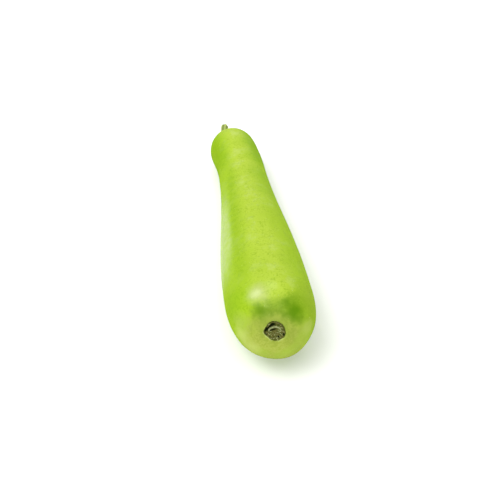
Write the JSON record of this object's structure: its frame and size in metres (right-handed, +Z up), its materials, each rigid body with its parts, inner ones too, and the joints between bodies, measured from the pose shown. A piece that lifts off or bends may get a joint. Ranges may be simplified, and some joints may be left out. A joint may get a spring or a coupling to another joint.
{
  "type": "bottle gourd",
  "caption": "Pale green bottle gourd lying on its side: a smooth club shape with a thick neck, a corky blossom end and a short ribbed stem.",
  "frame": {"origin": "on the surface that the gourd lies on, under the middle of its bounding box", "axes": "+Y along the gourd from the blossom end to the stem, +Z up, +X to the right of someone who faces the blossom end"},
  "size_m": [0.0866, 0.4104, 0.0945],
  "materials": {
    "skin": "satin",
    "stem": "matte",
    "cork": "matte"
  },
  "bodies": {
    "root": {"fruit": "skin", "stem": "stem", "dried_blossom": "cork"}
  },
  "joints": []
}
